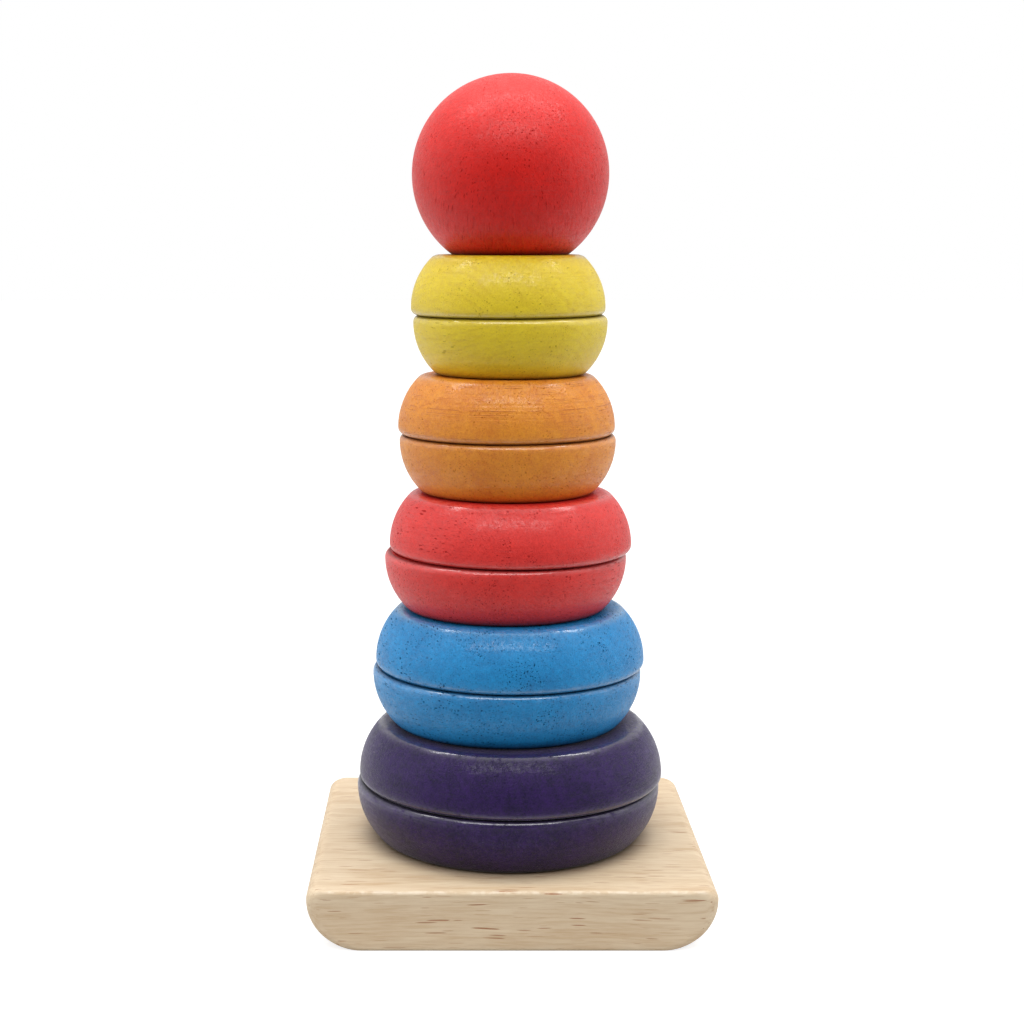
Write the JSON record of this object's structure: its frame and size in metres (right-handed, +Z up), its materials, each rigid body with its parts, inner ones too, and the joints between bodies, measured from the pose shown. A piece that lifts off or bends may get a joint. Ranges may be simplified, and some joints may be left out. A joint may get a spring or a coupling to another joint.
{
  "type": "stacking ring toy",
  "caption": "Wooden stacking toy: a board with an upright peg, pairs of turned half rings that shrink towards the top, and a ball that caps the stack.",
  "frame": {"origin": "middle of the base board's underside", "axes": "+Z up along the peg, +X along the board's width, -Y towards the front"},
  "size_m": [0.106, 0.098, 0.2233],
  "materials": {
    "natural_wood": "bare sanded hardwood",
    "peg_wood": "bare sanded hardwood",
    "screw_steel": "zinc plated",
    "purple_stain": "stained wood, satin",
    "blue_stain": "stained wood, satin",
    "red_stain": "stained wood, satin",
    "orange_stain": "stained wood, satin",
    "yellow_stain": "stained wood, satin",
    "ball_stain": "stained wood, satin"
  },
  "bodies": {
    "base": {"base": "natural_wood", "peg": "peg_wood", "peg_screw": "screw_steel"},
    "purple_lower": {"purple_lower": "purple_stain"},
    "purple_upper": {"purple_upper": "purple_stain"},
    "blue_lower": {"blue_lower": "blue_stain"},
    "blue_upper": {"blue_upper": "blue_stain"},
    "red_lower": {"red_lower": "red_stain"},
    "red_upper": {"red_upper": "red_stain"},
    "orange_lower": {"orange_lower": "orange_stain"},
    "orange_upper": {"orange_upper": "orange_stain"},
    "yellow_lower": {"yellow_lower": "yellow_stain"},
    "yellow_upper": {"yellow_upper": "yellow_stain"},
    "top_ball": {"top_ball": "ball_stain"}
  },
  "joints": [
    {"name": "purple_lower_lift", "type": "slide", "parent": "base", "child": "purple_lower", "axis": [0, 0, 1], "range_m": [0, 0.189]},
    {"name": "purple_upper_lift", "type": "slide", "parent": "purple_lower", "child": "purple_upper", "axis": [0, 0, 1], "range_m": [0, 0.173]},
    {"name": "blue_lower_lift", "type": "slide", "parent": "purple_upper", "child": "blue_lower", "axis": [0, 0, 1], "range_m": [0, 0.157]},
    {"name": "blue_upper_lift", "type": "slide", "parent": "blue_lower", "child": "blue_upper", "axis": [0, 0, 1], "range_m": [0, 0.141]},
    {"name": "red_lower_lift", "type": "slide", "parent": "blue_upper", "child": "red_lower", "axis": [0, 0, 1], "range_m": [0, 0.125]},
    {"name": "red_upper_lift", "type": "slide", "parent": "red_lower", "child": "red_upper", "axis": [0, 0, 1], "range_m": [0, 0.109]},
    {"name": "orange_lower_lift", "type": "slide", "parent": "red_upper", "child": "orange_lower", "axis": [0, 0, 1], "range_m": [0, 0.093]},
    {"name": "orange_upper_lift", "type": "slide", "parent": "orange_lower", "child": "orange_upper", "axis": [0, 0, 1], "range_m": [0, 0.077]},
    {"name": "yellow_lower_lift", "type": "slide", "parent": "orange_upper", "child": "yellow_lower", "axis": [0, 0, 1], "range_m": [0, 0.061]},
    {"name": "yellow_upper_lift", "type": "slide", "parent": "yellow_lower", "child": "yellow_upper", "axis": [0, 0, 1], "range_m": [0, 0.045]},
    {"name": "top_ball_lift", "type": "slide", "parent": "yellow_upper", "child": "top_ball", "axis": [0, 0, 1], "range_m": [0, 0.029]}
  ]
}
